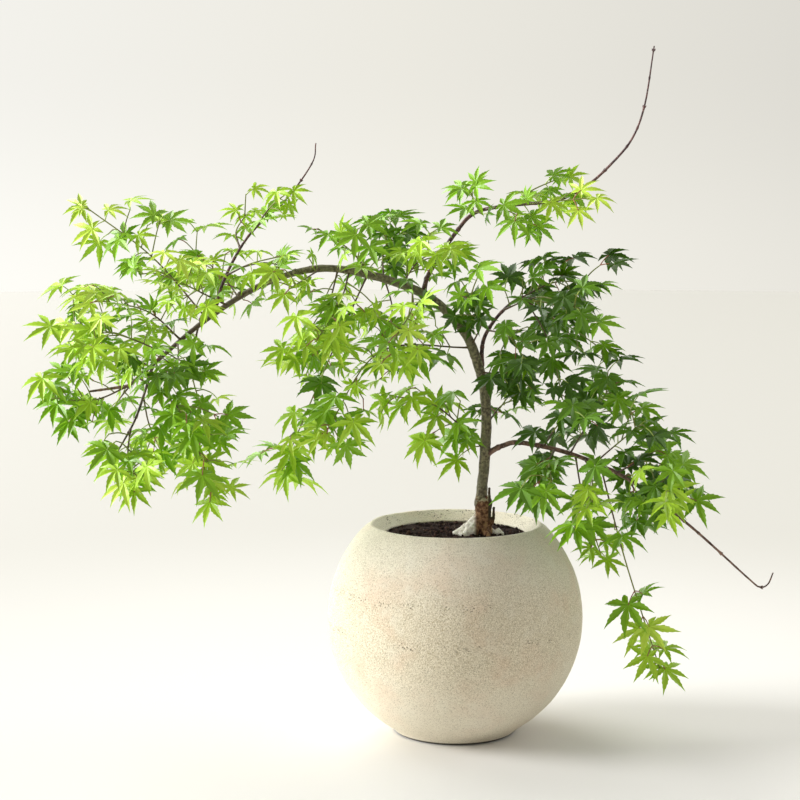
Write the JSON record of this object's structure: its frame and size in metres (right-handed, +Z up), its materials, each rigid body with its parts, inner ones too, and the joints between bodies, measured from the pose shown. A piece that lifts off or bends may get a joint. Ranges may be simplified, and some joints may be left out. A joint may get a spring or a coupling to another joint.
{
  "type": "japanese maple bonsai in a round pot",
  "caption": "Young Japanese maple bonsai whose slim trunk leans over into one long arch hung with sprays of lobed leaves, in a round pot filled with soil.",
  "frame": {"origin": "centre of the pot's flat underside", "axes": "+Z up; +X to the side of the low bough that dips past the pot, away from the long arch; -Y to the side that the tree shows best"},
  "size_m": [0.7335, 0.26, 0.6911],
  "materials": {
    "pot": "matte",
    "soil": "matte",
    "bark": "matte",
    "young_bark": "satin",
    "leaves": "satin"
  },
  "bodies": {
    "root": {"pot": "pot", "soil": "soil", "trunk": "bark", "arch_crest": "bark", "arch_fall": "bark", "rising_bough": "young_bark", "low_bough": "young_bark", "fork_bough": "young_bark", "left_whip": "young_bark", "tip_stub": "young_bark", "bare_twig": "young_bark", "leaves_left_high": "leaves", "leaves_left_crown": "leaves", "leaves_left_crown_back": "leaves", "leaves_left_mid_a": "leaves", "leaves_left_mid_b": "leaves", "leaves_left_mid_c": "leaves", "leaves_left_inner": "leaves", "leaves_left_tip": "leaves", "leaves_left_low_a": "leaves", "leaves_left_low_b": "leaves", "leaves_left_low_c": "leaves", "leaves_left_low_d": "leaves", "leaves_left_low_e": "leaves", "leaves_whip_a": "leaves", "leaves_whip_b": "leaves", "leaves_whip_c": "leaves", "leaves_crest_left": "leaves", "leaves_crest_a": "leaves", "leaves_crest_b": "leaves", "leaves_crest_c": "leaves", "leaves_rise_a": "leaves", "leaves_rise_b": "leaves", "leaves_rise_c": "leaves", "leaves_trunk_front": "leaves", "leaves_fork_top": "leaves", "leaves_fork_front": "leaves", "leaves_fork_mid": "leaves", "leaves_fork_hang": "leaves", "leaves_fork_low": "leaves", "leaves_trunk_right": "leaves", "leaves_trunk_right_low": "leaves", "leaves_low_up_a": "leaves", "leaves_low_up_b": "leaves", "leaves_low_up_c": "leaves", "leaves_low_mid": "leaves", "leaves_low_end": "leaves", "leaves_low_front_a": "leaves", "leaves_low_front_b": "leaves", "leaves_low_back": "leaves", "leaves_low_hang_a": "leaves", "leaves_low_hang_b": "leaves", "leaves_under_a": "leaves", "leaves_under_b": "leaves", "leaves_under_c": "leaves", "leaves_under_d": "leaves", "leaves_under_e": "leaves", "leaves_under_f": "leaves", "leaves_under_g": "leaves"}
  },
  "joints": []
}
